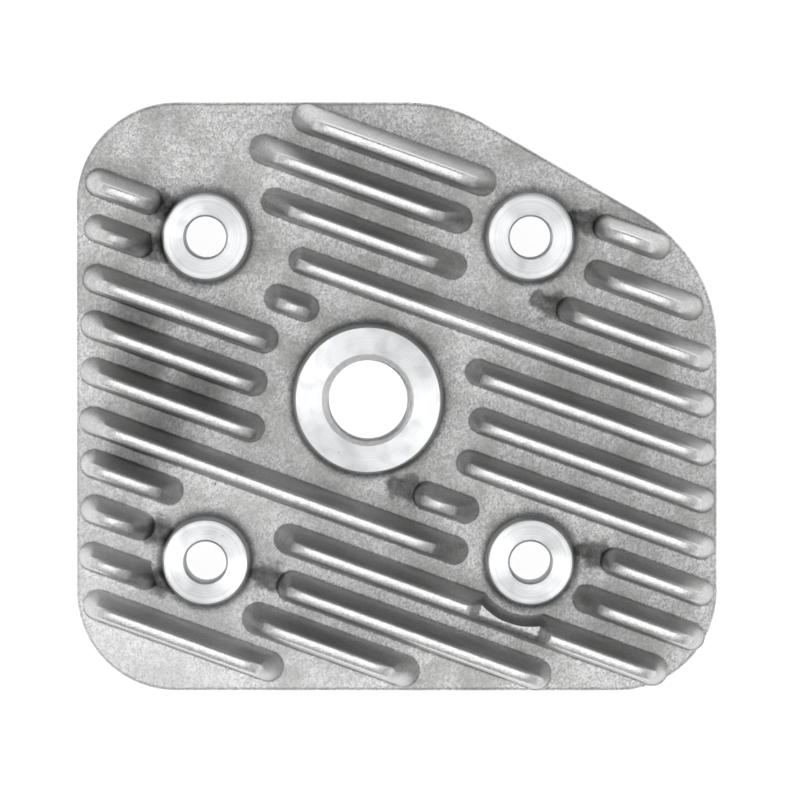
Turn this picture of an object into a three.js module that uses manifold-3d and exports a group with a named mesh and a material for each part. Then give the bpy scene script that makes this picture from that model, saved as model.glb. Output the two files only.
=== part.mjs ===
// Cylinder head of a small air-cooled two-stroke engine, built feature by feature.
// Millimetres, +Z up. The gasket face lies on z = 0 and the origin is under the middle of the outline.
// Plan positions are given from the spark plug's axis, which is also the centre of the stud square.

import * as THREE from 'three';
import { ParametricGeometry } from 'three/addons/geometries/ParametricGeometry.js';
import { mergeVertices } from 'three/addons/utils/BufferGeometryUtils.js';
import Module from 'manifold-3d';

const wasm = await Module();
wasm.setup();

// Heights above the gasket face
const PAD_TOP = 3;
const FLOOR = 10;
const STUD_SEAT = 20;
const PLUG_SEAT = 21;
const FIN_TOP = 28;

// Outline of the finned plate: distances from the plug's axis, corner radii and the cut rear corner
const LEFT = 46.8;
const RIGHT = 56;
const FRONT = 46.9;
const REAR = 47.6;
const CORNER_RADIUS = 16;
const CUT_RADIUS = 24;
const CUT_ANGLE = THREE.MathUtils.degToRad(30);
const CUT_POINT = new THREE.Vector2(29.2, 38.1);
const PLATE_EDGE = 0.6;
const PLATE_EDGE_STEPS = 2;
const PLUG_AXIS = new THREE.Vector2((LEFT - RIGHT) / 2, (FRONT - REAR) / 2);

// Gasket pad under the plate
const PAD_HALF_WIDTH = 36;
const PAD_RADIUS = 13;

// Studs: four clearance holes for M6 in a square
const STUD_SPACING = 52;
const STUD_HOLE_RADIUS = 3.3;
const STUD_BOSS_RADIUS = 6.85;

// Spark plug: M14 x 1.25 with a 12.7 mm reach; the bore is at the thread's crests
const PLUG_BORE_RADIUS = 6.325;
const PLUG_MOUTH_RADIUS = 7.4;
const PLUG_BOSS_RADIUS = 11.75;
const PLUG_REACH = 12.7;

// Both kinds of boss
const BOSS_DRAFT = 0.35;
const BOSS_FILLET = 1.4;
const BOSS_CHAMFER = 0.3;

// Combustion chamber: a squish band that climbs inward, then a dome up to the plug bore
const SQUISH_RADIUS = 20;
const DOME_RADIUS = 13.5;
const SQUISH_CLIMB = 0.8;
const DOME_STEPS = 8;
const CUT_PAST = 1;

// Fins: parallel rows, turned from the X axis. The crest lies forward of the root's middle, so the
// rear flank has most of the draft, and each end's crest is rounded over.
const FIN_ANGLE = THREE.MathUtils.degToRad(19.8);
const FIN_CREST_RADIUS = 0.9;
const FIN_CREST_FORWARD = 0.55;
const FIN_FILLET = 0.3;
const FIN_END_ROUND = 1.8;
const FIN_END_STEPS = 6;
const FIN_CREST_ANGLES = [40, 70, 90].map(THREE.MathUtils.degToRad);

// Room for a socket round each stud: a cone from the floor to the fins' crests. A stud's place is
// turned into the fins' own directions, and measured from the fin's middle line.
const SOCKET_ROOT_RADIUS = 8.8;
const SOCKET_TOP_RADIUS = 9.6;

// The one fin that crosses a socket's room is hollowed wider, and its crest is cut down to the seat
// there by a window with sloping ends
const NOTCHED_FIN = 'fin_04_right';
const NOTCHED_STUD = 'stud_boss_front_right';
const HOLLOW_TOP_RADIUS = 11.6;
const NOTCH_LOW_HALF = 5;
const NOTCH_TOP_HALF = 7;
const NOTCH_HALF_WIDTH = 4;

const PLUG_SEGMENTS = 48;
const STUD_SEGMENTS = 32;
const ARC_SEGMENTS = 6;
const WELD_GAP = 1e-4;

// Fins by row, counted from the front edge. Each one's middle line is a distance across the rows,
// its start and end are distances along them, and its crest starts and ends that far in.
const FINS = [
  { name: 'fin_01', across: -45.85, half: 2.35, start: -32.2, end: 2.1, startRun: 3, endRun: 4 },
  { name: 'fin_02_left', across: -38.8, half: 2.2, start: -35.5, end: -21.3, startRun: 2.6, endRun: 5.5 },
  { name: 'fin_02_right', across: -39.2, half: 2.5, start: -7.4, end: 22.9, startRun: 4.3, endRun: 4.8 },
  { name: 'fin_03_left', across: -31.6, half: 2.25, start: -37.8, end: -25, startRun: 3.2, endRun: 4 },
  { name: 'fin_03_right', across: -32.5, half: 2.4, start: -4, end: 43, startRun: 2.6, endRun: 2.2 },
  { name: 'fin_04_left', across: -24.7, half: 2.2, start: -40.3, end: -22.6, startRun: 2.6, endRun: 3.8 },
  { name: 'fin_04_right', across: -25.5, half: 2.35, start: -6.9, end: 60.3, startRun: 3.8, endRun: 2.8 },
  { name: 'fin_05_left', across: -18.25, half: 2.15, start: -42.8, end: 23.7, startRun: 5, endRun: 6 },
  { name: 'fin_05_right', across: -18.35, half: 2.15, start: 41.3, end: 64, startRun: 5, endRun: 2.6 },
  { name: 'fin_06_left', across: -10.8, half: 2.2, start: -45.3, end: -13.7, startRun: 3.8, endRun: 2 },
  { name: 'fin_06_middle', across: -11.45, half: 2.15, start: 11.7, end: 23.1, startRun: 2, endRun: 4.2 },
  { name: 'fin_06_right', across: -11.2, half: 2.1, start: 43.6, end: 63.1, startRun: 2.4, endRun: 2.8 },
  { name: 'fin_07_left', across: -3.7, half: 2.2, start: -47.8, end: -15.8, startRun: 4.6, endRun: 2.6 },
  { name: 'fin_07_right', across: -4.2, half: 2, start: 16.5, end: 60.7, startRun: 2.4, endRun: 3 },
  { name: 'fin_08_left', across: 3.4, half: 2.25, start: -50, end: -16.5, startRun: 4, endRun: 2.4 },
  { name: 'fin_08_right', across: 2.85, half: 2, start: 16.1, end: 58.2, startRun: 2.8, endRun: 3 },
  { name: 'fin_09_left', across: 11, half: 2.1, start: -52.5, end: -40.3, startRun: 3.5, endRun: 4.3 },
  { name: 'fin_09_middle', across: 10.3, half: 2.1, start: -21.5, end: -12, startRun: 2.8, endRun: 2 },
  { name: 'fin_09_right', across: 10, half: 2, start: 12.9, end: 55.7, startRun: 3.3, endRun: 3 },
  { name: 'fin_10_left', across: 18, half: 2.15, start: -54.8, end: -41.3, startRun: 3, endRun: 2.5 },
  { name: 'fin_10_right', across: 17.25, half: 2, start: -19.8, end: 53, startRun: 2.1, endRun: 3 },
  { name: 'fin_11_left', across: 24.7, half: 2.1, start: -27.2, end: 8, startRun: 5.6, endRun: 5.4 },
  { name: 'fin_11_right', across: 24.25, half: 2.05, start: 23.2, end: 50.3, startRun: 3.3, endRun: 2.8 },
  { name: 'fin_12_left', across: 32.05, half: 2.25, start: -31.9, end: 6.3, startRun: 5.2, endRun: 5.2 },
  { name: 'fin_12_right', across: 31.4, half: 2.05, start: 25.5, end: 46, startRun: 4.6, endRun: 4.2 },
  { name: 'fin_13_left', across: 39.05, half: 2.25, start: -27.1, end: 7.9, startRun: 4.5, endRun: 3.8 },
  { name: 'fin_13_right', across: 38.8, half: 2, start: 24.3, end: 37.8, startRun: 3, endRun: 3.6 },
];

const STUDS = [
  { name: 'stud_boss_front_left', x: -1, y: -1 },
  { name: 'stud_boss_front_right', x: 1, y: -1 },
  { name: 'stud_boss_rear_left', x: -1, y: 1 },
  { name: 'stud_boss_rear_right', x: 1, y: 1 },
].map(({ name, x, y }) => {
  return { name, x: (x * STUD_SPACING) / 2, y: (y * STUD_SPACING) / 2 };
});

// ---- Closed meshes and solids ----

// Positions only, with shared corners joined and collapsed triangles dropped.
function weld(geometry) {
  geometry.deleteAttribute('normal');
  geometry.deleteAttribute('uv');
  const joined = mergeVertices(geometry, WELD_GAP);
  const index = joined.getIndex().array;
  const kept = [];
  for (let i = 0; i < index.length; i += 3) {
    const [a, b, c] = index.slice(i, i + 3);
    if (a !== b && b !== c && c !== a) {
      kept.push(a, b, c);
    }
  }
  joined.setIndex(kept);
  return joined;
}

function toSolid(geometry) {
  const closed = weld(geometry);
  return new wasm.Manifold(
    new wasm.Mesh({
      numProp: 3,
      vertProperties: new Float32Array(closed.getAttribute('position').array),
      triVerts: new Uint32Array(closed.getIndex().array),
    }),
  );
}

function toGeometry(solid) {
  const mesh = solid.getMesh();
  const geometry = new THREE.BufferGeometry();
  geometry.setAttribute('position', new THREE.BufferAttribute(mesh.vertProperties, 3));
  geometry.setIndex(new THREE.BufferAttribute(mesh.triVerts, 1));
  return geometry;
}

function cutAway(geometry, cutters) {
  const start = toSolid(geometry);
  const cut = cutters.reduce((solid, cutter) => solid.subtract(toSolid(cutter)), start);
  return toGeometry(cut);
}

// ---- Basic shapes ----

// An outline through the given corners, counter-clockwise, each rounded by its own radius.
function roundedOutline(corners) {
  const shape = new THREE.Shape();
  corners.forEach((corner, i) => {
    const before = corners[(i + corners.length - 1) % corners.length];
    const after = corners[(i + 1) % corners.length];
    const incoming = Math.atan2(corner.y - before.y, corner.x - before.x);
    const outgoing = Math.atan2(after.y - corner.y, after.x - corner.x);
    const turn = (outgoing - incoming + 2 * Math.PI) % (2 * Math.PI);
    const setback = corner.r * Math.tan(turn / 2);
    const centreX = corner.x - setback * Math.cos(incoming) - corner.r * Math.sin(incoming);
    const centreY = corner.y - setback * Math.sin(incoming) + corner.r * Math.cos(incoming);
    const from = incoming - Math.PI / 2;
    shape.absarc(centreX, centreY, corner.r, from, from + turn, false);
  });
  return shape;
}

function plateOutline() {
  const cutAtRear = CUT_POINT.x - (REAR - CUT_POINT.y) / Math.tan(CUT_ANGLE);
  const cutAtRight = CUT_POINT.y - (RIGHT - CUT_POINT.x) * Math.tan(CUT_ANGLE);
  return roundedOutline([
    { x: -LEFT, y: -FRONT, r: CORNER_RADIUS },
    { x: RIGHT, y: -FRONT, r: CORNER_RADIUS },
    { x: RIGHT, y: cutAtRight, r: CUT_RADIUS },
    { x: cutAtRear, y: REAR, r: CUT_RADIUS },
    { x: -LEFT, y: REAR, r: CORNER_RADIUS },
  ]);
}

function padOutline() {
  const side = PAD_HALF_WIDTH;
  return roundedOutline([
    { x: -side, y: -side, r: PAD_RADIUS },
    { x: side, y: -side, r: PAD_RADIUS },
    { x: side, y: side, r: PAD_RADIUS },
    { x: -side, y: side, r: PAD_RADIUS },
  ]);
}

// A solid of revolution about +Z from [radius, height] points that close on themselves.
function turned(points, segments) {
  const profile = points.map(([radius, height]) => new THREE.Vector2(radius, height));
  return new THREE.LatheGeometry(profile, segments).rotateX(Math.PI / 2);
}

// ---- Cutters shared by the plate and the gasket pad ----

function studHole({ x, y }) {
  const height = FLOOR + 2 * CUT_PAST;
  return new THREE.CylinderGeometry(STUD_HOLE_RADIUS, STUD_HOLE_RADIUS, height, STUD_SEGMENTS)
    .rotateX(Math.PI / 2)
    .translate(x, y, FLOOR / 2);
}

// The chamber's hollow and the plug bore above it, as one turned solid that starts on the axis.
function chamberCutter() {
  const mouth = PLUG_SEAT - PLUG_REACH;
  const centre =
    (PLUG_BORE_RADIUS ** 2 + mouth ** 2 - DOME_RADIUS ** 2 - SQUISH_CLIMB ** 2) /
    (2 * (mouth - SQUISH_CLIMB));
  const radius = Math.hypot(DOME_RADIUS, SQUISH_CLIMB - centre);
  const low = Math.asin((SQUISH_CLIMB - centre) / radius);
  const high = Math.asin((mouth - centre) / radius);
  const dome = [];
  for (let i = 0; i <= DOME_STEPS; i++) {
    const angle = THREE.MathUtils.lerp(low, high, i / DOME_STEPS);
    dome.push([radius * Math.cos(angle), centre + radius * Math.sin(angle)]);
  }
  const profile = [
    [0, -CUT_PAST],
    [SQUISH_RADIUS, -CUT_PAST],
    [SQUISH_RADIUS, 0],
    ...dome,
    [PLUG_BORE_RADIUS, FLOOR + CUT_PAST],
    [0, FLOOR + CUT_PAST],
  ];
  return turned(profile, PLUG_SEGMENTS);
}

// ---- Features ----

function basePlate() {
  const plate = new THREE.ExtrudeGeometry(plateOutline(), {
    depth: FLOOR - PAD_TOP - 2 * PLATE_EDGE,
    curveSegments: ARC_SEGMENTS,
    bevelThickness: PLATE_EDGE,
    bevelSize: PLATE_EDGE,
    bevelOffset: -PLATE_EDGE,
    bevelSegments: PLATE_EDGE_STEPS,
  }).translate(0, 0, PAD_TOP + PLATE_EDGE);
  return cutAway(plate, [...STUDS.map(studHole), chamberCutter()]);
}

function gasketPad() {
  const pad = new THREE.ExtrudeGeometry(padOutline(), {
    depth: PAD_TOP,
    curveSegments: ARC_SEGMENTS,
    bevelEnabled: false,
  });
  return cutAway(pad, [...STUDS.map(studHole), chamberCutter()]);
}

// A boss from the floor to its seat: fillet, drafted side, chamfered rim, then the bore.
function boss({ radius, seat, bore, mouth, segments }) {
  const foot = radius + BOSS_DRAFT;
  const slope = Math.SQRT1_2;
  const profile = [
    [bore, FLOOR],
    [foot + BOSS_FILLET, FLOOR],
    [foot + BOSS_FILLET * (1 - slope), FLOOR + BOSS_FILLET * (1 - slope)],
    [foot, FLOOR + BOSS_FILLET],
    [radius, seat - BOSS_CHAMFER],
    [radius - BOSS_CHAMFER, seat],
    [mouth, seat],
    [bore, seat - (mouth - bore)],
    [bore, FLOOR],
  ];
  return turned(profile, segments);
}

// A fin lies along X from start to end. Each level is a pill with round ends, and the first and
// last levels are only its middle line, which closes the root below and the crest above.
function fin({ half: rootHalf, start, end, startRun, endRun }) {
  const height = FIN_TOP - FLOOR;
  const shoulder = height - FIN_CREST_RADIUS;
  const hollow = FIN_FILLET * (1 - Math.SQRT1_2);
  const levels = [
    { z: 0, half: 0, inward: 0 },
    { z: 0, half: rootHalf + FIN_FILLET, inward: 0 },
    { z: hollow, half: rootHalf + hollow, inward: 0 },
    { z: FIN_FILLET, half: rootHalf, inward: 0 },
    { z: shoulder, half: FIN_CREST_RADIUS, inward: 0 },
    ...FIN_CREST_ANGLES.map((angle) => ({
      z: shoulder + FIN_CREST_RADIUS * Math.sin(angle),
      half: angle < Math.PI / 2 ? FIN_CREST_RADIUS * Math.cos(angle) : 0,
      inward: FIN_END_ROUND * (1 - Math.cos(angle)),
    })),
  ];
  const stacks = levels.length - 1;
  const slices = 2 * (FIN_END_STEPS + 1);
  const rootRun = rootHalf + FIN_FILLET;

  const surface = (u, v, target) => {
    const { z, half, inward } = levels[Math.round(v * stacks)];
    const step = Math.round(u * slices) % slices;
    const atEnd = step <= FIN_END_STEPS;
    const angle = ((atEnd ? step : step - 1) / FIN_END_STEPS - 0.5) * Math.PI;
    const risen = Math.min(z / shoulder, 1);
    const endCentre = end - THREE.MathUtils.lerp(rootRun, endRun, risen) - inward;
    const startCentre = start + THREE.MathUtils.lerp(rootRun, startRun, risen) + inward;
    const centre = atEnd ? endCentre : startCentre;
    target.set(
      centre + half * Math.cos(angle),
      half * Math.sin(angle) - FIN_CREST_FORWARD * risen,
      z,
    );
  };
  return weld(new ParametricGeometry(surface, slices, stacks));
}

// A stud's place seen from a fin.
function studFrom(across, { x, y }) {
  const place = new THREE.Vector2(x, y).rotateAround(new THREE.Vector2(), FIN_ANGLE);
  return new THREE.Vector2(place.x, place.y - across);
}

function socketCone({ x, y }, topRadius) {
  const height = FIN_TOP - FLOOR;
  const slope = (topRadius - SOCKET_ROOT_RADIUS) / height;
  return new THREE.CylinderGeometry(
    topRadius + slope * CUT_PAST,
    SOCKET_ROOT_RADIUS - slope * CUT_PAST,
    height + 2 * CUT_PAST,
    STUD_SEGMENTS,
  )
    .rotateX(Math.PI / 2)
    .translate(x, y, height / 2);
}

function notchWindow(x) {
  const low = STUD_SEAT - FLOOR;
  const high = FIN_TOP - FLOOR;
  const past = NOTCH_TOP_HALF + ((NOTCH_TOP_HALF - NOTCH_LOW_HALF) * CUT_PAST) / (high - low);
  const window = new THREE.Shape([
    new THREE.Vector2(-NOTCH_LOW_HALF, low),
    new THREE.Vector2(NOTCH_LOW_HALF, low),
    new THREE.Vector2(past, high + CUT_PAST),
    new THREE.Vector2(-past, high + CUT_PAST),
  ]);
  const across = { depth: 2 * NOTCH_HALF_WIDTH, bevelEnabled: false };
  return new THREE.ExtrudeGeometry(window, across)
    .rotateX(Math.PI / 2)
    .translate(x, NOTCH_HALF_WIDTH, 0);
}

function clearedFin(shape) {
  const cutters = STUDS.map((stud) => {
    const hollowed = shape.name === NOTCHED_FIN && stud.name === NOTCHED_STUD;
    const topRadius = hollowed ? HOLLOW_TOP_RADIUS : SOCKET_TOP_RADIUS;
    return socketCone(studFrom(shape.across, stud), topRadius);
  });
  if (shape.name === NOTCHED_FIN) {
    const stud = STUDS.find(({ name }) => name === NOTCHED_STUD);
    cutters.push(notchWindow(studFrom(shape.across, stud).x));
  }
  return cutAway(fin(shape), cutters);
}

// ---- Materials ----

function castAluminium() {
  return new THREE.MeshStandardMaterial({ color: 0xa9aaa8, roughness: 0.6, metalness: 0.9 });
}

function machinedAluminium() {
  return new THREE.MeshStandardMaterial({ color: 0xe2e3e5, roughness: 0.3, metalness: 1 });
}

function feature(name, geometry, material) {
  const mesh = new THREE.Mesh(geometry, material);
  mesh.name = name;
  return mesh;
}

// ---- Assembly ----

const head = new THREE.Group();

const body = new THREE.Group();
body.position.set(PLUG_AXIS.x, PLUG_AXIS.y, 0);
head.add(body);

body.add(feature('base_plate', basePlate(), castAluminium()));
body.add(feature('gasket_pad', gasketPad(), machinedAluminium()));

const plugBoss = boss({
  radius: PLUG_BOSS_RADIUS,
  seat: PLUG_SEAT,
  bore: PLUG_BORE_RADIUS,
  mouth: PLUG_MOUTH_RADIUS,
  segments: PLUG_SEGMENTS,
});
body.add(feature('plug_boss', plugBoss, machinedAluminium()));

for (const { name, x, y } of STUDS) {
  const studBoss = boss({
    radius: STUD_BOSS_RADIUS,
    seat: STUD_SEAT,
    bore: STUD_HOLE_RADIUS,
    mouth: STUD_HOLE_RADIUS + BOSS_CHAMFER,
    segments: STUD_SEGMENTS,
  });
  const mesh = feature(name, studBoss, machinedAluminium());
  mesh.position.set(x, y, 0);
  body.add(mesh);
}

const finField = new THREE.Group();
finField.position.z = FLOOR;
finField.rotation.z = -FIN_ANGLE;
body.add(finField);

for (const shape of FINS) {
  const mesh = feature(shape.name, clearedFin(shape), castAluminium());
  mesh.position.y = shape.across;
  finField.add(mesh);
}

export default head;
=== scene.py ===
"""Looks for a small air-cooled cylinder head: one detailed piece for each feature of the casting."""

import math

import bpy
import numpy as np
from mathutils import Matrix, Vector


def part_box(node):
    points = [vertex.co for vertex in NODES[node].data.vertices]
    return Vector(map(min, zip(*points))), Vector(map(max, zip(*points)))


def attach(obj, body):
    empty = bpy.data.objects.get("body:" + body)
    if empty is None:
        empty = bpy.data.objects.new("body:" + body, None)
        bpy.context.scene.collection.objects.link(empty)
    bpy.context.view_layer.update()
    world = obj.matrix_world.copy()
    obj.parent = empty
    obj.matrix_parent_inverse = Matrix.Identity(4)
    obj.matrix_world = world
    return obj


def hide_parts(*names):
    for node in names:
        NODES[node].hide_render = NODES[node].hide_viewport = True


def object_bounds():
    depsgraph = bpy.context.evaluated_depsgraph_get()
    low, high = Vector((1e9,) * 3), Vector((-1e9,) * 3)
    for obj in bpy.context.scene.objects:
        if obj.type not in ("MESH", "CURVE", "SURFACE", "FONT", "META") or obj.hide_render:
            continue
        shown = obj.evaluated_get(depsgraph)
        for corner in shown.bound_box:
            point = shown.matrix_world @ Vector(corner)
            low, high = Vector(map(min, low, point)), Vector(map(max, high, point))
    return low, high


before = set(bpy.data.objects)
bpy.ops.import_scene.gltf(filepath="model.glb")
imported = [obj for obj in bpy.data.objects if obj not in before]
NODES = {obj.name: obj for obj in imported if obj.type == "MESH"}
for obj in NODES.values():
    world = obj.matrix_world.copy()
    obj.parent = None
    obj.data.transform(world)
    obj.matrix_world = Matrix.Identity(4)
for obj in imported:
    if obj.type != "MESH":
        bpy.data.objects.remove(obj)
cad_low, cad_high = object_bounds()

MM = 0.001
STUDS = [name for name in NODES if name.startswith("stud_boss_")]
FINS = sorted(name for name in NODES if name.startswith("fin_"))

# ---- Places taken from the solid parts ----

PLATE_LOW, PLATE_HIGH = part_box("base_plate")
PAD_LOW, PAD_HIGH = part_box("gasket_pad")
PLUG_LOW, PLUG_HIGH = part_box("plug_boss")
FLOOR = PLATE_HIGH.z
PAD_TOP = PLATE_LOW.z
STUD_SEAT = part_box(STUDS[0])[1].z
STUD_AXES = {name: sum(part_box(name), Vector()) / 2 for name in STUDS}
PLUG_SEAT = PLUG_HIGH.z
FIN_TOP = cad_high.z
PLUG = (PLUG_LOW + PLUG_HIGH) / 2

# ---- The plate and the gasket pad ----

CORNER_RADIUS = 16 * MM
CUT_RADIUS = 24 * MM
CUT_ANGLE = math.radians(30)
CUT_POINT = (29.2 * MM, 38.1 * MM)
PLATE_EDGE = 0.6 * MM
PAD_RADIUS = 13 * MM
PAD_EDGE = 0.35 * MM
PAD_TOP_EDGE = 0.01 * MM

# ---- The bosses ----

# Rings of points cross the faced tops, at shares of a stud's face and at lengths in from the
# plug's edge; SUNK is how far a piece reaches into the one below
STUD_HOLE = 3.3 * MM
STUD_HOLE_CHAMFER = 0.3 * MM
STUD_FACE = 6.85 * MM
STUD_FACE_RINGS = (0.75, 0.5, 0.25, 0)
PLUG_FACE = 11.75 * MM
PLUG_FACE_RINGS = (1.0 * MM, 2.2 * MM, 3.35 * MM, 4.3 * MM)
BOSS_DRAFT = 0.35 * MM
BOSS_FILLET = 1.4 * MM
BOSS_FILLET_RISE = 0.8 * MM
BOSS_CHAMFER = 0.22 * MM
SUNK = 0.4 * MM

# ---- The plug's thread and the chamber ----

# A flare is how much a cone's radius grows for each millimetre up or down. The groove is
# GROOVE_PEAK deep in its middle and loses GROOVE_SLOPE for each pitch away from it, as shares of
# the thread's depth, kept between 0 and 1
PLUG_MOUTH = 7.4 * MM
MOUTH_FLARE = 2.0
THREAD_MINOR = 6.325 * MM
THREAD_MAJOR = 7.0 * MM
THREAD_PITCH = 1.25 * MM
GROOVE_PEAK = 1.25
GROOVE_SLOPE = 3.2
PLUG_REACH = 12.7 * MM
LEAD_IN_FLARE = 1.2
THREAD_WALL = 0.3 * MM
CHAMBER_BORE = THREAD_MAJOR + 0.1 * MM
CHAMBER_GAP = 0.02 * MM
SQUISH_RADIUS = 20 * MM
SQUISH_STEP = 0.12 * MM
SQUISH_CLIMB = 0.8 * MM
DOME_RADIUS = 13.5 * MM
OVERCUT = 1 * MM

# ---- The fins ----

# A fin's crest has a tight corner to the rear, a wide soft one to the front and bull-nosed ends:
# each is (distance across or along, drop in height)
FIN_ANGLE = math.radians(19.8)
CREST_LINE = -0.05 * MM
CREST_REAR = (0.4 * MM, 0.4 * MM)
CREST_FRONT = (1.4 * MM, 0.6 * MM)
NOSE = (4.2 * MM, 3.4 * MM)
CREST_END = 1.8 * MM
CREST_SLIVER = 0.01
FIN_FILLET = 0.3 * MM
FIN_SUNK = 1.5 * MM
BURIED_INSET = 0.3 * MM
SIDE_SHARES = (0.15, 0.35, 0.55, 0.75, 0.9, 1)
LEAST_STEPS = 4
LEVEL_GAP = 0.01 * MM

# Room for a socket round each stud: a cone that cuts the fins, wider over one hollowed fin
SOCKET_ROOT = 8.8 * MM
SOCKET_TOP = 9.6 * MM
HOLLOW_TOP = 11.6 * MM
NOTCHED_FIN = "fin_04_right"
NOTCHED_STUD = "stud_boss_front_right"
NOTCH_LOW_HALF = 5.0 * MM
NOTCH_TOP_HALF = 7.0 * MM
WEB_ROUND = 0.4 * MM
WEB_CROWN = 0.5

# ---- How finely the shapes are drawn ----

EDGE_STEPS = 5
CORNER_STEPS = 24
DOME_STEPS = 24
FILLET_STEPS = 8
FOOT_STEPS = 4
CREST_STEPS = 10
NOSE_STEPS = 14
THREAD_STEPS = 14
FIN_STEP = 0.5 * MM
NOTCH_STEP = 0.25 * MM
HOLE_SEGMENTS = 96
PLUG_SEGMENTS = 144
BOSS_SEGMENTS = 160
SHARP_ANGLE = 35
FIN_SHARP_ANGLE = 60

# ---- Painted shade and light on the floor ----

# Fin ends that painted shade tapers away from (1 is the right end), by spots (distance beyond,
# radius)
WEDGE_ENDS = [
    ("fin_02_left", 1),
    ("fin_03_left", 1),
    ("fin_03_right", -1),
    ("fin_06_middle", -1),
    ("fin_06_right", -1),
    ("fin_09_left", 1),
    ("fin_10_left", 1),
    ("fin_11_right", -1),
    ("fin_13_right", -1),
]
WEDGE_SPOTS = [
    (0.2 * MM, 2.9 * MM),
    (1.2 * MM, 2.5 * MM),
    (2.2 * MM, 2.1 * MM),
    (3.2 * MM, 1.7 * MM),
]
WEDGE_REACH = (0.45, 1.1)

# Painted shade between two fins, a share of the way along the first
GAP_SHADES = [
    ("fin_07_left", "fin_08_left", 0.25),
    ("fin_06_left", "fin_07_left", 0.3),
    ("fin_06_left", "fin_07_left", 0.6),
    ("fin_05_left", "fin_06_left", 0.2),
    ("fin_04_left", "fin_05_left", 0.45),
]
GAP_SHADE_REACH = (1 * MM, 8 * MM)
GAP_SHADE_STRENGTH = 0.75

# Painted shade round the bosses' feet, and painted light that brightens the casting towards one
# corner
PLUG_FOOT_SHADE = (12.2 * MM, 14.0 * MM)
PLUG_FOOT_SHADE_STRENGTH = 0.25
STUD_FOOT_SHADE = (7.4 * MM, 9.2 * MM)
STUD_FOOT_SHADE_STRENGTH = 0.3
LIT_CORNER = Vector((PLATE_LOW.x, PLATE_LOW.y, FLOOR))
LIT_REACH = (6 * MM, 66 * MM)
LIT_STRENGTH = 0.62

# Ranges of a noise, followed by the factors that they give
RAGGED_EDGE = (0.2, 0.8, 0.6, 1.4)
BROKEN_SHADE = (0.25, 0.75, 0.7, 1.0)

# ---- Tones of the metal: pairs of (grey, warmth), and the bands of height that they cover ----

FLOOR_TONES = ((0.55, 0.004), (1.0, 0.002))
PATCH_TONE = (0.44, 0.01)
# Tones of the painted light towards one corner
LIT_TONES = ((0.78, 0.002), (1.0, 0.0))
SIDE_TONES = ((0.44, 0.006), (0.62, 0.006))
# Painted highlight along the fins' crests
CREST_HIGHLIGHT_TONES = ((0.80, 0.004), (1.0, 0.002))
# The dark that the painted shade mixes in
SHADE_TONE = (0.10, 0.02)
PIT_TONE = (0.08, 0.02)
TURNED_WARMTH = -0.012

FLOOR_BAND = (0.3 * MM, 2.2 * MM)
CREST_BAND = (FIN_TOP - FLOOR - 2.6 * MM, FIN_TOP - FLOOR - 0.7 * MM)
# Heights above the floor over which the painted shade fades out
SHADE_BAND = (0.5 * MM, 6 * MM)
UPPER_BAND = (-1 * MM, -0.3 * MM)
SIDE_GRAIN = 0.5

# Grain sizes with their detail and roughness, and how hard each noise is stretched
FINE_GRAIN = (0.24 * MM, 4.0, 0.75)
COARSE_GRAIN = (1.5 * MM, 3.0, 0.6)
PATCHES = (8 * MM, 3.0, 0.55)
TURNED_SCUFFS = (3 * MM, 4.0, 0.6)
HOLE_SCUFFS = (0.9 * MM, 3.0, 0.6)
GRAIN_CELL = 0.3 * MM
GRAIN_DEPTH = 0.12 * MM
SCUFF_DEPTH = 0.02 * MM
FINE_SHARE = 0.6
COARSE_RELIEF = 1.5
SOFT = (0.3, 0.7)
FIRM = (0.35, 0.65)
BRIGHT = (0.3, 0.6)
PATCH_MIX = (0.38, 0.68, 0.0, 0.65)
SCUFF_MIX = (0.45, 0.8, 0.0, 0.25)
SCUFF_SHADE = 0.8

# Pits in the casting and nicks in the turned faces: (spacing, radius)
PITS = (3.4 * MM, 0.12 * MM)
NICKS = (1.7 * MM, 0.1 * MM)
NICK_STRENGTH = 0.6
NICK_SHADE = 0.3
PIT_FADE = 1.6
PIT_RARITY = 0.72

# RADIAL_STREAKS is a quarter turn, so that highlights run across the turned rings
CAST_METALLIC = 0.95
CAST_ROUGHNESS = (0.38, 0.5)
CREST_POLISH = 0.03
TURNED_ROUGHNESS = (0.3, 0.8, 0.36, 0.46)
TURNED_ANISOTROPY = 0.85
RADIAL_STREAKS = 0.25
RING_DETAIL = 3.0
RING_ROUGHNESS = 0.7

# Where one finish ends and the next begins
WALL_TILT = 0.5
HOLE_MARGIN = 0.15 * MM
CHAMBER_MARGIN = 1 * MM

# ---- Mesh helpers ----


def mesh_object(name, points, faces):
    mesh = bpy.data.meshes.new(name)
    mesh.from_pydata([tuple(p) for p in points], [], faces)
    mesh.validate()
    mesh.update()
    piece = bpy.data.objects.new(name, mesh)
    bpy.context.scene.collection.objects.link(piece)
    return piece


def ring_faces(rings, points, wrap_rings=False):
    """Quads between neighbouring rings of points, each ring closed on itself."""
    faces = []
    for r in range(rings if wrap_rings else rings - 1):
        low = r * points
        high = ((r + 1) % rings) * points
        for i in range(points):
            j = (i + 1) % points
            faces.append((low + i, low + j, high + j, high + i))
    return faces


def loft(name, rings):
    """A closed body through rings of points, with flat ends."""
    count = len(rings[0])
    points = np.concatenate(rings)
    faces = ring_faces(len(rings), count)
    faces.append(tuple(reversed(range(count))))
    faces.append(tuple(range((len(rings) - 1) * count, len(rings) * count)))
    return mesh_object(name, points, faces)


def zipped(name, rings, tip):
    """A closed body through pill-shaped rings, each end closed by quads from tip to tip."""
    count = len(rings[0])
    faces = ring_faces(len(rings), count)
    for base, order in ((0, -1), ((len(rings) - 1) * count, 1)):
        for k in range(count // 2):
            corners = [tip - k, tip + k, tip + k + 1, tip - k - 1]
            quad = list(dict.fromkeys(base + corner % count for corner in corners))
            if len(quad) > 2:
                faces.append(tuple(quad[::order]))
    return mesh_object(name, np.concatenate(rings), faces)


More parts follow.
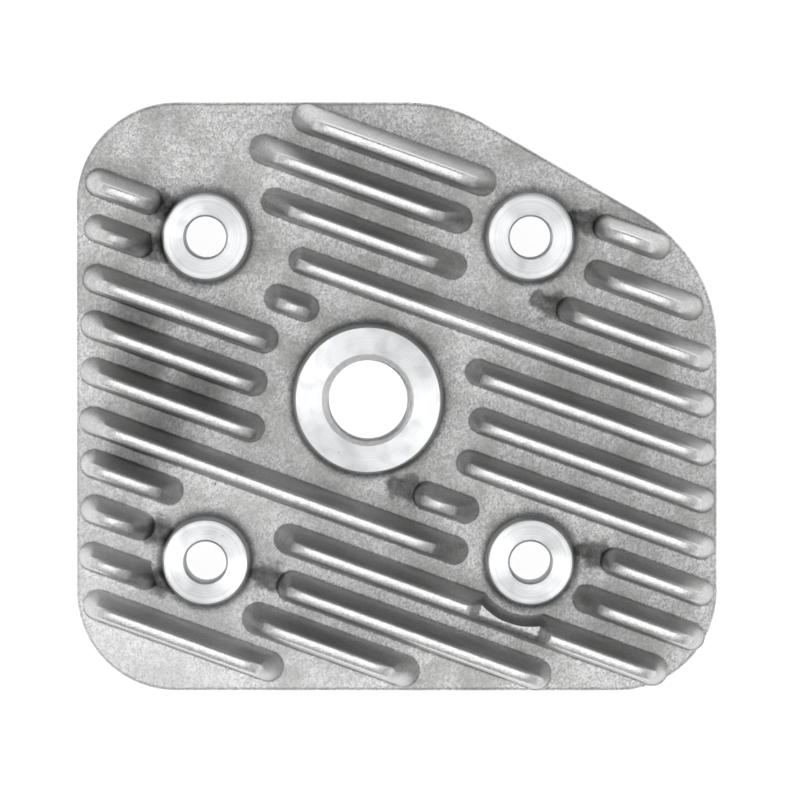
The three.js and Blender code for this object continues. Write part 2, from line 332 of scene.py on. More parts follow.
def circles(profile, axis, segments):
    """Rings of points about a vertical axis, one for each (radius, height)."""
    angles = np.linspace(0, 2 * math.pi, segments, endpoint=False)
    rings = []
    for radius, height in profile:
        across = axis.x + radius * np.cos(angles)
        along = axis.y + radius * np.sin(angles)
        rings.append(np.column_stack([across, along, np.full(segments, height)]))
    return rings


def turned(name, rings):
    """A ring-shaped body whose last ring of points joins its first."""
    faces = ring_faces(len(rings), len(rings[0]), wrap_rings=True)
    return mesh_object(name, np.concatenate(rings), faces)


def cut(piece, cutters):
    """Takes the cutters out of a piece, then removes them."""
    for cutter in cutters:
        boolean = piece.modifiers.new("cut", "BOOLEAN")
        boolean.operation = "DIFFERENCE"
        boolean.solver = "EXACT"
        boolean.object = cutter
    graph = bpy.context.evaluated_depsgraph_get()
    made = bpy.data.meshes.new_from_object(piece.evaluated_get(graph))
    piece.modifiers.clear()
    piece.data = made
    for cutter in cutters:
        bpy.data.objects.remove(cutter)
    return piece


def smooth(piece, angle=SHARP_ANGLE):
    """Shades a piece smooth, but for edges sharper than an angle in degrees."""
    mesh = piece.data
    mesh.polygons.foreach_set("use_smooth", [True] * len(mesh.polygons))
    mesh.set_sharp_from_angle(angle=math.radians(angle))
    mesh.update()


def rounded_outline(corners, inset):
    """Points round a convex outline, each corner rounded, moved inward by inset."""
    points = []
    for i, (x, y, radius) in enumerate(corners):
        before_x, before_y, _ = corners[i - 1]
        after_x, after_y, _ = corners[(i + 1) % len(corners)]
        incoming = math.atan2(y - before_y, x - before_x)
        outgoing = math.atan2(after_y - y, after_x - x)
        turn = (outgoing - incoming) % (2 * math.pi)
        setback = radius * math.tan(turn / 2)
        centre_x = x - setback * math.cos(incoming) - radius * math.sin(incoming)
        centre_y = y - setback * math.sin(incoming) + radius * math.cos(incoming)
        reach = radius - inset
        for step in range(CORNER_STEPS + 1):
            angle = incoming - math.pi / 2 + turn * step / CORNER_STEPS
            points.append((centre_x + reach * math.cos(angle), centre_y + reach * math.sin(angle)))
    return np.array(points)


def edge_profile(low, high, low_round, high_round):
    """(inset, height) pairs up a wall with both edges rounded."""
    profile = []
    for i in range(EDGE_STEPS + 1):
        a = math.pi / 2 * i / EDGE_STEPS
        profile.append((low_round * (1 - math.sin(a)), low + low_round * (1 - math.cos(a))))
    for i in range(EDGE_STEPS + 1):
        a = math.pi / 2 * i / EDGE_STEPS
        profile.append((high_round * (1 - math.cos(a)), high - high_round * (1 - math.sin(a))))
    return profile


def slab(name, corners, low, high, low_round, high_round):
    """A flat body with rounded corners and edges."""
    rings = []
    for inset, height in edge_profile(low, high, low_round, high_round):
        outline = rounded_outline(corners, inset)
        rings.append(np.column_stack([outline, np.full(len(outline), height)]))
    return loft(name, rings)


# ---- Cutters shared by the plate and the gasket pad ----


def stud_hole_cutters():
    profile = [(STUD_HOLE, -OVERCUT), (STUD_HOLE, FLOOR + OVERCUT)]
    return [loft("hole", circles(profile, axis, HOLE_SEGMENTS)) for axis in STUD_AXES.values()]


def dome_profile(top_radius):
    """(radius, height) up the chamber's dome, from the squish band to a radius near the plug."""
    mouth = PLUG_SEAT - PLUG_REACH
    difference = THREAD_MINOR**2 + mouth**2 - DOME_RADIUS**2 - SQUISH_CLIMB**2
    centre = difference / (2 * (mouth - SQUISH_CLIMB))
    radius = math.hypot(DOME_RADIUS, SQUISH_CLIMB - centre)
    low = math.asin((SQUISH_CLIMB - centre) / radius)
    high = math.acos(top_radius / radius)
    profile = []
    for i in range(DOME_STEPS + 1):
        a = low + (high - low) * i / DOME_STEPS
        profile.append((radius * math.cos(a), centre + radius * math.sin(a)))
    return profile


def chamber_cutter():
    profile = [
        (SQUISH_RADIUS, -OVERCUT),
        (SQUISH_RADIUS, SQUISH_STEP),
        *dome_profile(CHAMBER_BORE),
        (CHAMBER_BORE, FLOOR + OVERCUT),
    ]
    return loft("chamber", circles(profile, PLUG, BOSS_SEGMENTS))


# ---- The plate, pad and bosses ----


def base_plate():
    """The plate: three round corners and one cut off, with its holes and the chamber."""
    left = PLATE_LOW.x - PLUG.x
    right = PLATE_HIGH.x - PLUG.x
    front = PLATE_LOW.y - PLUG.y
    rear = PLATE_HIGH.y - PLUG.y
    cut_rear = CUT_POINT[0] - (rear - CUT_POINT[1]) / math.tan(CUT_ANGLE)
    cut_right = CUT_POINT[1] - (right - CUT_POINT[0]) * math.tan(CUT_ANGLE)
    corners = [
        (left, front, CORNER_RADIUS),
        (right, front, CORNER_RADIUS),
        (right, cut_right, CUT_RADIUS),
        (cut_rear, rear, CUT_RADIUS),
        (left, rear, CORNER_RADIUS),
    ]
    placed = [(x + PLUG.x, y + PLUG.y, radius) for x, y, radius in corners]
    plate = slab("visual_base_plate", placed, PAD_TOP, FLOOR, PLATE_EDGE, PLATE_EDGE)
    return cut(plate, [*stud_hole_cutters(), chamber_cutter()])


def gasket_pad():
    """The square sealing pad round the chamber's mouth."""
    corners = [
        (PAD_LOW.x, PAD_LOW.y, PAD_RADIUS),
        (PAD_HIGH.x, PAD_LOW.y, PAD_RADIUS),
        (PAD_HIGH.x, PAD_HIGH.y, PAD_RADIUS),
        (PAD_LOW.x, PAD_HIGH.y, PAD_RADIUS),
    ]
    pad = slab("visual_gasket_pad", corners, PAD_LOW.z, PAD_TOP + SUNK, PAD_EDGE, PAD_TOP_EDGE)
    return cut(pad, [*stud_hole_cutters(), chamber_cutter()])


def boss_side(face, seat):
    """(radius, height) up the outside of a boss: a hollow fillet, the drafted side, a chamfer."""
    foot = face + BOSS_DRAFT
    profile = [(foot + BOSS_FILLET, FLOOR - SUNK)]
    for i in range(FILLET_STEPS + 1):
        a = math.pi / 2 * i / FILLET_STEPS
        radius = foot + BOSS_FILLET * (1 - math.sin(a))
        profile.append((radius, FLOOR + BOSS_FILLET_RISE * (1 - math.cos(a))))
    profile += [(face, seat - BOSS_CHAMFER), (face - BOSS_CHAMFER, seat)]
    return profile


def stud_boss(name):
    """A faced boss round a plain hole with a chamfered mouth."""
    mouth = STUD_HOLE + STUD_HOLE_CHAMFER
    width = STUD_FACE - BOSS_CHAMFER - mouth
    profile = boss_side(STUD_FACE, STUD_SEAT)
    profile += [(mouth + width * share, STUD_SEAT) for share in STUD_FACE_RINGS]
    profile += [(STUD_HOLE, STUD_SEAT - STUD_HOLE_CHAMFER), (STUD_HOLE, FLOOR - SUNK)]
    return turned("visual_" + name, circles(profile, STUD_AXES[name], BOSS_SEGMENTS))


def thread_radius(height, angle):
    """The bore's radius: a groove that climbs one pitch a turn, flared at the mouth and below."""
    phase = (height / THREAD_PITCH - angle / (2 * math.pi)) % 1
    groove = np.clip(GROOVE_PEAK - np.abs(phase - 0.5) * GROOVE_SLOPE, 0, 1)
    radius = THREAD_MINOR + (THREAD_MAJOR - THREAD_MINOR) * groove
    top_cone = PLUG_MOUTH - (PLUG_SEAT - height) * MOUTH_FLARE
    low_cone = CHAMBER_BORE - (height - (PLUG_SEAT - PLUG_REACH)) * LEAD_IN_FLARE
    return np.maximum(np.maximum(radius, top_cone), low_cone)


def plug_boss():
    """A faced boss round the threaded hole, down to the top of the dome."""
    angles = np.linspace(0, 2 * math.pi, PLUG_SEGMENTS, endpoint=False)
    _, dome_top = dome_profile(CHAMBER_BORE)[-1]
    bottom = dome_top + CHAMBER_GAP
    profile = boss_side(PLUG_FACE, PLUG_SEAT)
    profile += [(PLUG_FACE - inward, PLUG_SEAT) for inward in PLUG_FACE_RINGS]
    levels = int((PLUG_SEAT - bottom) / THREAD_PITCH * THREAD_STEPS)
    for height in np.linspace(PLUG_SEAT, bottom, levels):
        profile.append((thread_radius(height, angles), height))
    profile.append((THREAD_MAJOR + THREAD_WALL, bottom))
    return turned("visual_plug_boss", circles(profile, PLUG, PLUG_SEGMENTS))


# ---- The fins ----


def along_fins(points):
    """Points in the fins' own directions, from the plug's axis."""
    c, s = math.cos(FIN_ANGLE), math.sin(FIN_ANGLE)
    x, y = points[:, 0] - PLUG.x, points[:, 1] - PLUG.y
    return np.column_stack([x * c - y * s, x * s + y * c, points[:, 2]])


def from_fins(points):
    """Fin directions back to the object's, kept inside its box and, when buried, in the plate."""
    c, s = math.cos(FIN_ANGLE), math.sin(FIN_ANGLE)
    u, v = points[:, 0], points[:, 1]
    placed = np.column_stack([PLUG.x + u * c + v * s, PLUG.y - u * s + v * c, points[:, 2]])
    buried = points[:, 2:] < FLOOR
    inset = np.where(buried, BURIED_INSET, 0.0) * np.array([1, 1, 0])
    return np.clip(placed, np.array(cad_low) + inset, np.array(cad_high) - inset)


def fin_lines(name):
    """A fin's row, its root's half width and the ends of its foot and crest, from its solid."""
    points = np.array([vertex.co for vertex in NODES[name].data.vertices], float)
    local = along_fins(points)
    foot = local[local[:, 2] < FLOOR + LEVEL_GAP]
    crest = local[local[:, 2] > FIN_TOP - LEVEL_GAP]
    row = (foot[:, 1].min() + foot[:, 1].max()) / 2
    half = (foot[:, 1].max() - foot[:, 1].min()) / 2 - FIN_FILLET
    return row, half, foot[:, 0].min(), foot[:, 0].max(), crest[:, 0].min(), crest[:, 0].max()


def fin_levels(root_half):
    """Up a fin: share of the rise, rear and front edge, heights at rear and front, rounding in."""
    height = FIN_TOP - FLOOR
    shoulders = [height - drop for _, drop in (CREST_REAR, CREST_FRONT)]
    rear_top = CREST_LINE + CREST_REAR[0]
    front_top = CREST_LINE - CREST_FRONT[0]
    foot = root_half + FIN_FILLET
    levels = [(0, foot, -foot, (-FIN_SUNK,) * 2, 0)]
    for a in np.linspace(0, math.pi / 2, FOOT_STEPS + 1):
        half = root_half + FIN_FILLET * (1 - math.sin(a))
        levels.append((0, half, -half, (FIN_FILLET * (1 - math.cos(a)),) * 2, 0))
    for share in SIDE_SHARES:
        rear = root_half + (rear_top - root_half) * share
        front = -root_half + (front_top + root_half) * share
        heights = [FIN_FILLET + (shoulder - FIN_FILLET) * share for shoulder in shoulders]
        levels.append((share, rear, front, heights, 0))
    for a in np.linspace(0, math.pi / 2, CREST_STEPS + 1)[1:]:
        width = max(math.cos(a), CREST_SLIVER)
        rear = CREST_LINE + CREST_REAR[0] * width
        front = CREST_LINE - CREST_FRONT[0] * width
        heights = [height + (shoulder - height) * (1 - math.sin(a)) for shoulder in shoulders]
        levels.append((1, rear, front, heights, CREST_END * (1 - math.cos(a))))
    return levels


def bull_nosed(points, left_tip, right_tip):
    """Lowers a fin towards both ends of its crest along a quarter of an ellipse."""
    length, drop = NOSE
    u = points[:, 0]
    to_tip = np.clip(np.minimum(u - left_tip, right_tip - u), 0, length)
    share = drop / (FIN_TOP - FLOOR) * (1 - np.sqrt(1 - (1 - to_tip / length) ** 2))
    above = np.maximum(points[:, 2] - FLOOR, 0)
    points[:, 2] -= above * share
    return points


def notched(points, stud):
    """Lowers a crest to the nut's seat beside a stud, between soft ends, and crowns what is left."""
    off = np.abs(points[:, 0] - stud[0])
    slope = np.clip((off - NOTCH_LOW_HALF) / (NOTCH_TOP_HALF - NOTCH_LOW_HALF), 0, 1)
    limit = STUD_SEAT + (FIN_TOP - STUD_SEAT) * slope * slope * (3 - 2 * slope)
    over = np.maximum(points[:, 2] - (limit - WEB_ROUND), 0)
    rise = (STUD_SEAT - FLOOR) / (FIN_TOP - FLOOR)
    inner = stud[1] - (SOCKET_ROOT + (HOLLOW_TOP - SOCKET_ROOT) * rise)
    beyond = np.maximum(inner - points[:, 1], 0)
    crown = WEB_CROWN * beyond**2 / MM * (1 - slope)
    eased = limit - WEB_ROUND * np.exp(-over / WEB_ROUND) - crown
    points[:, 2] = np.where((over > 0) & (slope < 1), eased, points[:, 2])
    return points


def clear_of_socket(points, stud, top_radius):
    """Pushes points out of the cone of room for a socket round a stud."""
    away = points[:, :2] - stud[:2]
    distance = np.linalg.norm(away, axis=1)
    rise = (points[:, 2] - FLOOR) / (FIN_TOP - FLOOR)
    cone = SOCKET_ROOT + (top_radius - SOCKET_ROOT) * rise
    push = np.maximum(cone / distance, 1)
    points[:, :2] = stud[:2] + away * push[:, None]
    return points


def pill(ends, edges, heights, row, steps):
    """Points round one level of a fin: a half circle at each end, with straight sides between."""
    left, right = ends
    rear, front = edges
    rear_z, front_z = heights
    half = (rear - front) / 2
    turns = np.linspace(-0.5, 0.5, 2 * NOSE_STEPS + 1) * math.pi
    straight = np.ones(steps - 1)
    sine = np.concatenate([np.sin(turns), straight, -np.sin(turns), -straight])
    side = np.linspace(right, left, steps + 1)[1:-1]
    caps = half * np.cos(turns)
    u = np.concatenate([right + caps, side, left - caps, side[::-1]])
    v = row + (rear + front) / 2 + half * sine
    z = FLOOR + (rear_z + front_z) / 2 + (rear_z - front_z) / 2 * sine
    return np.column_stack([u, v, z])


def fin(name):
    """One fin, from its buried foot to its crest."""
    row, root_half, start, end, crest_start, crest_end = fin_lines(name)
    reach = root_half + FIN_FILLET
    low_right, high_right = end - reach, crest_end + CREST_END
    low_left, high_left = start + reach, crest_start - CREST_END
    crest_half = (CREST_REAR[0] + CREST_FRONT[0]) / 2
    step = NOTCH_STEP if name == NOTCHED_FIN else FIN_STEP
    steps = max(int((end - start) / step), LEAST_STEPS)
    studs = {stud: along_fins(np.array([axis]))[0] for stud, axis in STUD_AXES.items()}
    rings = []
    for share, rear, front, heights, inward in fin_levels(root_half):
        right = low_right + (high_right - low_right) * share - inward
        left = low_left + (high_left - low_left) * share + inward
        ring = pill((left, right), (rear, front), heights, row, steps)
        ring = bull_nosed(ring, high_left - crest_half, high_right + crest_half)
        if name == NOTCHED_FIN:
            ring = notched(ring, studs[NOTCHED_STUD])
        for stud, place in studs.items():
            hollowed = name == NOTCHED_FIN and stud == NOTCHED_STUD
            ring = clear_of_socket(ring, place, HOLLOW_TOP if hollowed else SOCKET_TOP)
        rings.append(from_fins(ring))
    return zipped("visual_" + name, rings, NOSE_STEPS)


# ---- Materials ----


class Nodes:
    """Short calls for building one material's node tree."""

    # Places of the colours among a mix node's sockets
    MIX_FIRST = 6
    MIX_SECOND = 7
    MIX_RESULT = 2

    def __init__(self, name):
        self.material = bpy.data.materials.new(name)
        self.material.use_nodes = True
        self.tree = self.material.node_tree
        self.shader = self.tree.nodes["Principled BSDF"]
        self.place = self.add("ShaderNodeTexCoord").outputs["Object"]

    def add(self, kind, **settings):
        node = self.tree.nodes.new(kind)
        for key, value in settings.items():
            setattr(node, key, value)
        return node

    def feed(self, socket, value):
        if isinstance(value, bpy.types.NodeSocket):
            self.tree.links.new(value, socket)
        else:
            socket.default_value = value

    def math(self, operation, a, b):
        node = self.add("ShaderNodeMath", operation=operation)
        self.feed(node.inputs[0], a)
        self.feed(node.inputs[1], b)
        return node.outputs[0]

    def noise(self, size, detail, rough):
        node = self.add("ShaderNodeTexNoise")
        self.feed(node.inputs["Vector"], self.place)
        node.inputs["Scale"].default_value = 1 / size
        node.inputs["Detail"].default_value = detail
        node.inputs["Roughness"].default_value = rough
        return node.outputs["Fac"]

    def remap(self, value, low, high, to_low=0.0, to_high=1.0):
        node = self.add("ShaderNodeMapRange", interpolation_type="SMOOTHSTEP")
        self.feed(node.inputs["Value"], value)
        node.inputs["From Min"].default_value = low
        node.inputs["From Max"].default_value = high
        node.inputs["To Min"].default_value = to_low
        node.inputs["To Max"].default_value = to_high
        return node.outputs["Result"]

    def fade(self, value, reach, strength=1.0):
        """Full strength at the start of a reach, and nothing past its end."""
        return self.remap(value, *reach, strength, 0.0)

    def mix(self, factor, a, b):
        node = self.add("ShaderNodeMix", data_type="RGBA")
        self.feed(node.inputs[0], factor)
        self.feed(node.inputs[self.MIX_FIRST], a)
        self.feed(node.inputs[self.MIX_SECOND], b)
        return node.outputs[self.MIX_RESULT]

    def tones(self, factor, pair):
        """A colour between two tones."""
        return self.mix(factor, grey(*pair[0]), grey(*pair[1]))

    def bump(self, height, distance):
        node = self.add("ShaderNodeBump")
        node.inputs["Distance"].default_value = distance
        node.inputs["Strength"].default_value = 1.0
        self.feed(node.inputs["Height"], height)
        return node.outputs["Normal"]

    def grains(self, size):
        """A different random value for each small grain."""
        cells = self.add("ShaderNodeTexVoronoi")
        self.feed(cells.inputs["Vector"], self.place)
        cells.inputs["Scale"].default_value = 1 / size
        return cells.outputs["Color"]

    def pits(self, spacing, radius):
        """Sparse small holes: a dot in a few of the cells of a grid."""
        cells = self.add("ShaderNodeTexVoronoi")
        self.feed(cells.inputs["Vector"], self.place)
        cells.inputs["Scale"].default_value = 1 / spacing
        size = radius / spacing
        dot = self.fade(cells.outputs["Distance"], (size, PIT_FADE * size))
        chosen = self.math("GREATER_THAN", cells.outputs["Color"], PIT_RARITY)
        return self.math("MULTIPLY", dot, chosen)

    def height_above_floor(self):
        split = self.add("ShaderNodeSeparateXYZ")
        self.feed(split.inputs[0], self.place)
        return self.math("SUBTRACT", split.outputs["Z"], FLOOR)

    def distance_from(self, axis):
        """Distance from a vertical axis."""
        flat = self.add("ShaderNodeVectorMath", operation="MULTIPLY")
        self.feed(flat.inputs[0], self.place)
        flat.inputs[1].default_value = (1, 1, 0)
        away = self.add("ShaderNodeVectorMath", operation="DISTANCE")
        self.feed(away.inputs[0], flat.outputs[0])
        away.inputs[1].default_value = (axis.x, axis.y, 0)
        return away.outputs["Value"]


def grey(value, warmth=0.0):
    """A grey, a little redder with a warmth above 0 and bluer below."""
    return (value * (1 + warmth), value, value * (1 - warmth), 1)


def fin_end_shade_spots():
    """(place, radius) of the spots of painted shade that taper away from the ends of some fins."""
    spots = []
    for name, direction in WEDGE_ENDS:
        row, _, start, end, _, _ = fin_lines(name)
        tip = end if direction > 0 else start
        for beyond, radius in WEDGE_SPOTS:
            place = from_fins(np.array([[tip + direction * beyond, row, FLOOR]]))[0]
            spots.append((Vector(place), radius))
    return spots


def gap_shade_places():
    """Places on the floor in the gaps between two fins, part of the way along the first."""
    places = []
    for name, neighbour, share in GAP_SHADES:
        row, _, start, end, _, _ = fin_lines(name)
        across = (row + fin_lines(neighbour)[0]) / 2
        place = from_fins(np.array([[start + (end - start) * share, across, FLOOR]]))[0]
        places.append(Vector(place))
    return places


def metal_before_shade(n, above, sparkle):
    """The casting's colour before the painted shade: floor, fins' sides, crests with a painted
    highlight, and painted light towards one corner.
    """
    on_crest = n.remap(above, *CREST_BAND)
    mottled = n.tones(n.remap(sparkle, *SOFT), FLOOR_TONES)
    patched = n.mix(n.remap(n.noise(*PATCHES), *PATCH_MIX), mottled, grey(*PATCH_TONE))
    # Painted light: the casting brightens towards one corner of the plate
    lit = n.fade(n.distance_from(LIT_CORNER), LIT_REACH, LIT_STRENGTH)
    patched = n.mix(lit, patched, n.tones(n.remap(sparkle, *BRIGHT), LIT_TONES))
    even = n.tones(n.remap(sparkle, *FIRM), SIDE_TONES)
    grained = n.mix(n.remap(above, *FLOOR_BAND, 1.0, SIDE_GRAIN), even, patched)
    # Painted highlight: the crests take brighter tones
    return n.mix(on_crest, grained, n.tones(n.remap(sparkle, *FIRM), CREST_HIGHLIGHT_TONES))


def painted_shade(n, above, coarse):
    """How much painted shade darkens the casting: halos round the bosses, wedges at fins' ends,
    patches in gaps.
    """
    # Painted shade: darker rings on the floor round the feet of the plug and the studs
    near = n.fade(n.distance_from(PLUG), PLUG_FOOT_SHADE, PLUG_FOOT_SHADE_STRENGTH)
    for axis in STUD_AXES.values():
        foot_shade = n.fade(n.distance_from(axis), STUD_FOOT_SHADE, STUD_FOOT_SHADE_STRENGTH)
        near = n.math("MAXIMUM", near, foot_shade)
    ragged = n.remap(coarse, *RAGGED_EDGE)
    # Painted shadow in the gaps beyond some fins' ends
    for place, radius in fin_end_shade_spots():
        spread = n.math("MULTIPLY", n.distance_from(place), ragged)
        wedge = n.fade(spread, [share * radius for share in WEDGE_REACH])
        near = n.math("MAXIMUM", near, wedge)
    # Painted shade on the floor in the gaps between fins
    for place in gap_shade_places():
        spread = n.math("MULTIPLY", n.distance_from(place), ragged)
        near = n.math("MAXIMUM", near, n.fade(spread, GAP_SHADE_REACH, GAP_SHADE_STRENGTH))
    shaded = n.math("MULTIPLY", near, n.remap(above, *UPPER_BAND))
    shaded = n.math("MULTIPLY", shaded, n.fade(above, SHADE_BAND))
    return n.math("MULTIPLY", shaded, n.remap(coarse, *BROKEN_SHADE))


def cast_aluminium(name):
    """Sand-cast metal: sparkling grain on the floor, dull up fins' sides, smoother crests with a
    painted highlight.
    """
    n = Nodes(name)
    above = n.height_above_floor()
    on_floor = n.remap(above, *FLOOR_BAND, 1.0, SIDE_GRAIN)
    fine = n.noise(*FINE_GRAIN)
    coarse = n.noise(*COARSE_GRAIN)
    cells = n.math("MULTIPLY", n.grains(GRAIN_CELL), 1 - FINE_SHARE)
    sparkle = n.math("ADD", n.math("MULTIPLY", fine, FINE_SHARE), cells)

    # Painted shade darkens the metal round the bosses, at fins' ends and in gaps
    colour = n.mix(painted_shade(n, above, coarse), metal_before_shade(n, above, sparkle), grey(*SHADE_TONE))
    pitted = n.math("MULTIPLY", n.pits(*PITS), on_floor)
    pitted = n.math("MULTIPLY", pitted, n.remap(above, *UPPER_BAND))
    n.feed(n.shader.inputs["Base Color"], n.mix(pitted, colour, grey(*PIT_TONE)))
    n.shader.inputs["Metallic"].default_value = CAST_METALLIC

    polish = n.math("MULTIPLY", n.remap(above, *CREST_BAND), CREST_POLISH)
    rough = n.math("SUBTRACT", n.remap(fine, *SOFT, *CAST_ROUGHNESS), polish)
    n.feed(n.shader.inputs["Roughness"], rough)

    height = n.math("ADD", sparkle, n.math("MULTIPLY", coarse, COARSE_RELIEF))
    height = n.math("MULTIPLY", height, on_floor)
    n.feed(n.shader.inputs["Normal"], n.bump(height, GRAIN_DEPTH))
    return n.material


def drilled_aluminium(name, dark, light, metallic):
    """The dull walls of drilled and tapped holes; with dark tones, painted shade down a hole."""
    n = Nodes(name)
    scuff = n.noise(*HOLE_SCUFFS)
    n.feed(n.shader.inputs["Base Color"], n.mix(n.remap(scuff, *SOFT), grey(dark), grey(light)))
    n.shader.inputs["Metallic"].default_value = metallic
    n.feed(n.shader.inputs["Roughness"], n.remap(scuff, *SOFT, *CAST_ROUGHNESS))
    n.feed(n.shader.inputs["Normal"], n.bump(scuff, SCUFF_DEPTH))
    return n.material


def machined_aluminium(name, axis, ring_size, depth, tone, ring_tone):
    """Turned metal: fine rings about an axis, with small dark nicks."""
    n = Nodes(name)
    lines = n.add("ShaderNodeTexNoise", noise_dimensions="1D")
    n.feed(lines.inputs["W"], n.distance_from(axis))
    lines.inputs["Scale"].default_value = 1 / ring_size
    lines.inputs["Detail"].default_value = RING_DETAIL
    lines.inputs["Roughness"].default_value = RING_ROUGHNESS
    rings = lines.outputs["Fac"]
    scuff = n.noise(*TURNED_SCUFFS)
    ringed = ((tone * ring_tone, TURNED_WARMTH), (tone, TURNED_WARMTH))
    shade = n.tones(n.remap(rings, *FIRM), ringed)
    shade = n.mix(n.remap(scuff, *SCUFF_MIX), shade, grey(tone * SCUFF_SHADE))
    nicks = n.math("MULTIPLY", n.pits(*NICKS), NICK_STRENGTH)
    shade = n.mix(nicks, shade, grey(tone * NICK_SHADE))
    n.feed(n.shader.inputs["Base Color"], shade)
    n.shader.inputs["Metallic"].default_value = 1.0
    n.feed(n.shader.inputs["Roughness"], n.remap(scuff, *TURNED_ROUGHNESS))
    n.shader.inputs["Anisotropic"].default_value = TURNED_ANISOTROPY
    n.shader.inputs["Anisotropic Rotation"].default_value = RADIAL_STREAKS
    turning = n.add("ShaderNodeTangent", direction_type="RADIAL", axis="Z")
    n.feed(n.shader.inputs["Tangent"], turning.outputs["Tangent"])
    n.feed(n.shader.inputs["Normal"], n.bump(rings, depth))
    return n.material


# ---- Which finish goes where ----


def away_from(face, axis):
    """A face's distance from a vertical axis."""
    return math.hypot(face.center.x - axis.x, face.center.y - axis.y)


def in_a_hole(face):
    """True on the wall of a stud hole or of the plug's bore."""
    if abs(face.normal.z) >= WALL_TILT:
        return False
    if away_from(face, PLUG) < THREAD_MAJOR + HOLE_MARGIN:
        return True
    return any(away_from(face, axis) < STUD_HOLE + HOLE_MARGIN for axis in STUD_AXES.values())


def plate_finish(face):
    """0 on the casting, 1 down a hole."""
    return 1 if in_a_hole(face) else 0


def pad_finish(face):
    """0 on the faced underside and in the chamber, 1 on the cast outer wall, 2 down a hole."""
    if in_a_hole(face):
        return 2
    beyond_chamber = away_from(face, PLUG) > SQUISH_RADIUS + CHAMBER_MARGIN
    return 1 if beyond_chamber and abs(face.normal.z) < WALL_TILT else 0


def boss_finish(axis, radius, seat):
    """Chooses a finish by place: 0 on the faced top, 1 on the cast side, 2 down the hole."""

    def choose(face):
        outside = away_from(face, axis) > radius - BOSS_CHAMFER
        if outside and face.center.z < seat - BOSS_CHAMFER:
            return 1
        return 2 if in_a_hole(face) else 0

    return choose


def plug_finish(face):
    """0 on the faced top, 1 on the cast side, 2 on the thread, 3 on the mouth's chamfer."""
    if away_from(face, PLUG) > PLUG_MOUTH:
        return boss_finish(PLUG, PLUG_FACE, PLUG_SEAT)(face)
    mouth_depth = (PLUG_MOUTH - THREAD_MINOR) / MOUTH_FLARE
    return 2 if face.center.z < PLUG_SEAT - mouth_depth else 3


def paint(piece, materials, choose=None):
    """Gives a piece its materials, and each face the one that `choose` names by number."""
    piece.data.materials.clear()
    for material in materials:
        piece.data.materials.append(material)
    if choose is not None:
        for face in piece.data.polygons:
            face.material_index = choose(face)


# ---- Build ----


def add_piece(piece, node):
    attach(piece, "root")
    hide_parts(node)
    return piece


cast = cast_aluminium("cast_aluminium")
# Painted shade: dark tones on the walls of the holes through the plate, pad and stud bosses
hole_shade_metal = drilled_aluminium("hole_walls_painted_shade", dark=0.30, light=0.46, metallic=1.0)
tapped = drilled_aluminium("tapped_bore", dark=0.66, light=0.84, metallic=1.0)
mouth_metal = drilled_aluminium("plug_mouth", dark=0.84, light=0.96, metallic=0.4)
plug_metal = machined_aluminium(
    "machined_plug_seat", PLUG, ring_size=0.35 * MM, depth=0.006 * MM, tone=0.76, ring_tone=0.95
)
pad_metal = machined_aluminium(
    "machined_gasket_face", PLUG, ring_size=0.6 * MM, depth=0.02 * MM, tone=0.85, ring_tone=0.88
)

plate = add_piece(base_plate(), "base_plate")
smooth(plate)
paint(plate, [cast, hole_shade_metal], plate_finish)

pad = add_piece(gasket_pad(), "gasket_pad")
smooth(pad)
paint(pad, [pad_metal, cast, hole_shade_metal], pad_finish)

plug = add_piece(plug_boss(), "plug_boss")
smooth(plug)
paint(plug, [plug_metal, cast, tapped, mouth_metal], plug_finish)

for stud, axis in STUD_AXES.items():
    piece = add_piece(stud_boss(stud), stud)
    smooth(piece)
    metal = machined_aluminium(
        "machined_" + stud, axis, ring_size=0.45 * MM, depth=0.02 * MM, tone=0.83, ring_tone=0.84
    )
    paint(piece, [metal, cast, hole_shade_metal], boss_finish(axis, STUD_FACE, STUD_SEAT))

for name in FINS:
    piece = add_piece(fin(name), name)
    smooth(piece, FIN_SHARP_ANGLE)
    paint(piece, [cast])

# ---- Studio: lengths in metres ----

# Each softbox: where it stands from the part, its width and depth, and its power
SOFTBOXES = {
    "overhead": ((-0.14, -0.23, 1.6), (1.7, 0.8), 9.2),
    "left_side": ((-1.3, 0, 1.1), (0.9, 1.2), 2.6),
    "right_side": ((1.3, 0, 1.1), (0.9, 1.2), 2.6),
}
AMBIENT = 0.25
WHITE = (1, 1, 1, 1)

STUDIO_REACH = 15.0
STUDIO_DROP = 0.2 * MM
STUDIO_GREY = 0.25
STUDIO_ROUGHNESS = 0.9
STUDIO_GLOW = 0.95

CAMERA_DISTANCE = 2.7
FRAME_WIDTH = 128 * MM
CAMERA_TILT = math.radians(0.95)
CAMERA_AIM = Vector((5.12 * MM, -0.04 * MM, 0))
SENSOR_WIDTH = 36
CLIP_END = 20


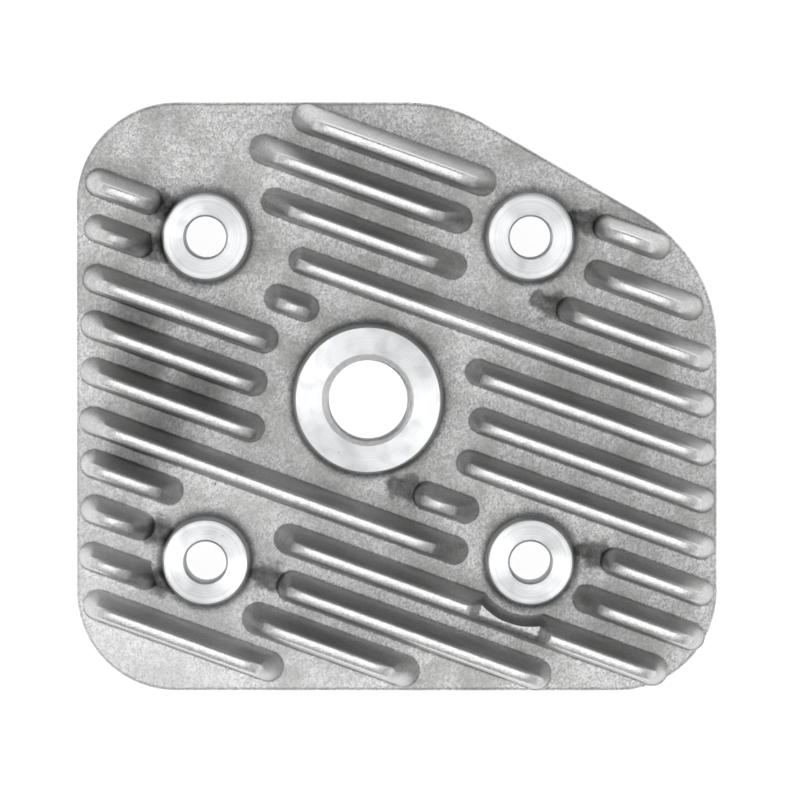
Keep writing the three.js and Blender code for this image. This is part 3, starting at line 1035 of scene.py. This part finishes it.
def studio_floor():
    far = STUDIO_REACH
    corners = [(-far, -far, 0), (far, -far, 0), (far, far, 0), (-far, far, 0)]
    floor = mesh_object("studio_floor", corners, [(0, 1, 2, 3)])
    floor.location.z = -STUDIO_DROP
    n = Nodes("studio_floor")
    n.shader.inputs["Base Color"].default_value = grey(STUDIO_GREY)
    n.shader.inputs["Roughness"].default_value = STUDIO_ROUGHNESS
    n.shader.inputs["Emission Color"].default_value = WHITE
    n.shader.inputs["Emission Strength"].default_value = STUDIO_GLOW
    floor.data.materials.append(n.material)


def soft_light(name, place, size, power):
    lamp = bpy.data.lights.new(name, "AREA")
    lamp.shape = "RECTANGLE"
    lamp.size = size[0]
    lamp.size_y = size[1]
    lamp.energy = power
    light = bpy.data.objects.new(name, lamp)
    bpy.context.scene.collection.objects.link(light)
    light.location = place
    light.rotation_euler = (-Vector(place)).to_track_quat("-Z", "Y").to_euler()
    light.visible_camera = False


def ambient_light():
    world = bpy.data.worlds.new("studio")
    bpy.context.scene.world = world
    world.use_nodes = True
    background = world.node_tree.nodes["Background"]
    background.inputs["Color"].default_value = WHITE
    background.inputs["Strength"].default_value = AMBIENT


def studio_camera():
    """Looks down at the part from far off, leaning a little to the rear."""
    camera_data = bpy.data.cameras.new("camera")
    camera = bpy.data.objects.new("camera", camera_data)
    bpy.context.scene.collection.objects.link(camera)
    bpy.context.scene.camera = camera
    camera_data.sensor_width = SENSOR_WIDTH
    camera_data.lens = SENSOR_WIDTH * CAMERA_DISTANCE / FRAME_WIDTH
    camera_data.clip_end = CLIP_END
    target = Vector((PLUG.x, PLUG.y, STUD_SEAT)) + CAMERA_AIM
    lean = Vector((0, math.sin(CAMERA_TILT), math.cos(CAMERA_TILT)))
    camera.location = target + CAMERA_DISTANCE * lean
    looking = camera.location - target
    across = Vector((1, 0, 0))
    upward = looking.cross(across).normalized()
    turn = Matrix((across, upward, looking.normalized())).transposed()
    camera.rotation_euler = turn.to_euler()


studio_floor()
for name, (place, size, power) in SOFTBOXES.items():
    soft_light(name, place, size, power)
ambient_light()
studio_camera()
bpy.context.scene.view_settings.view_transform = "Standard"
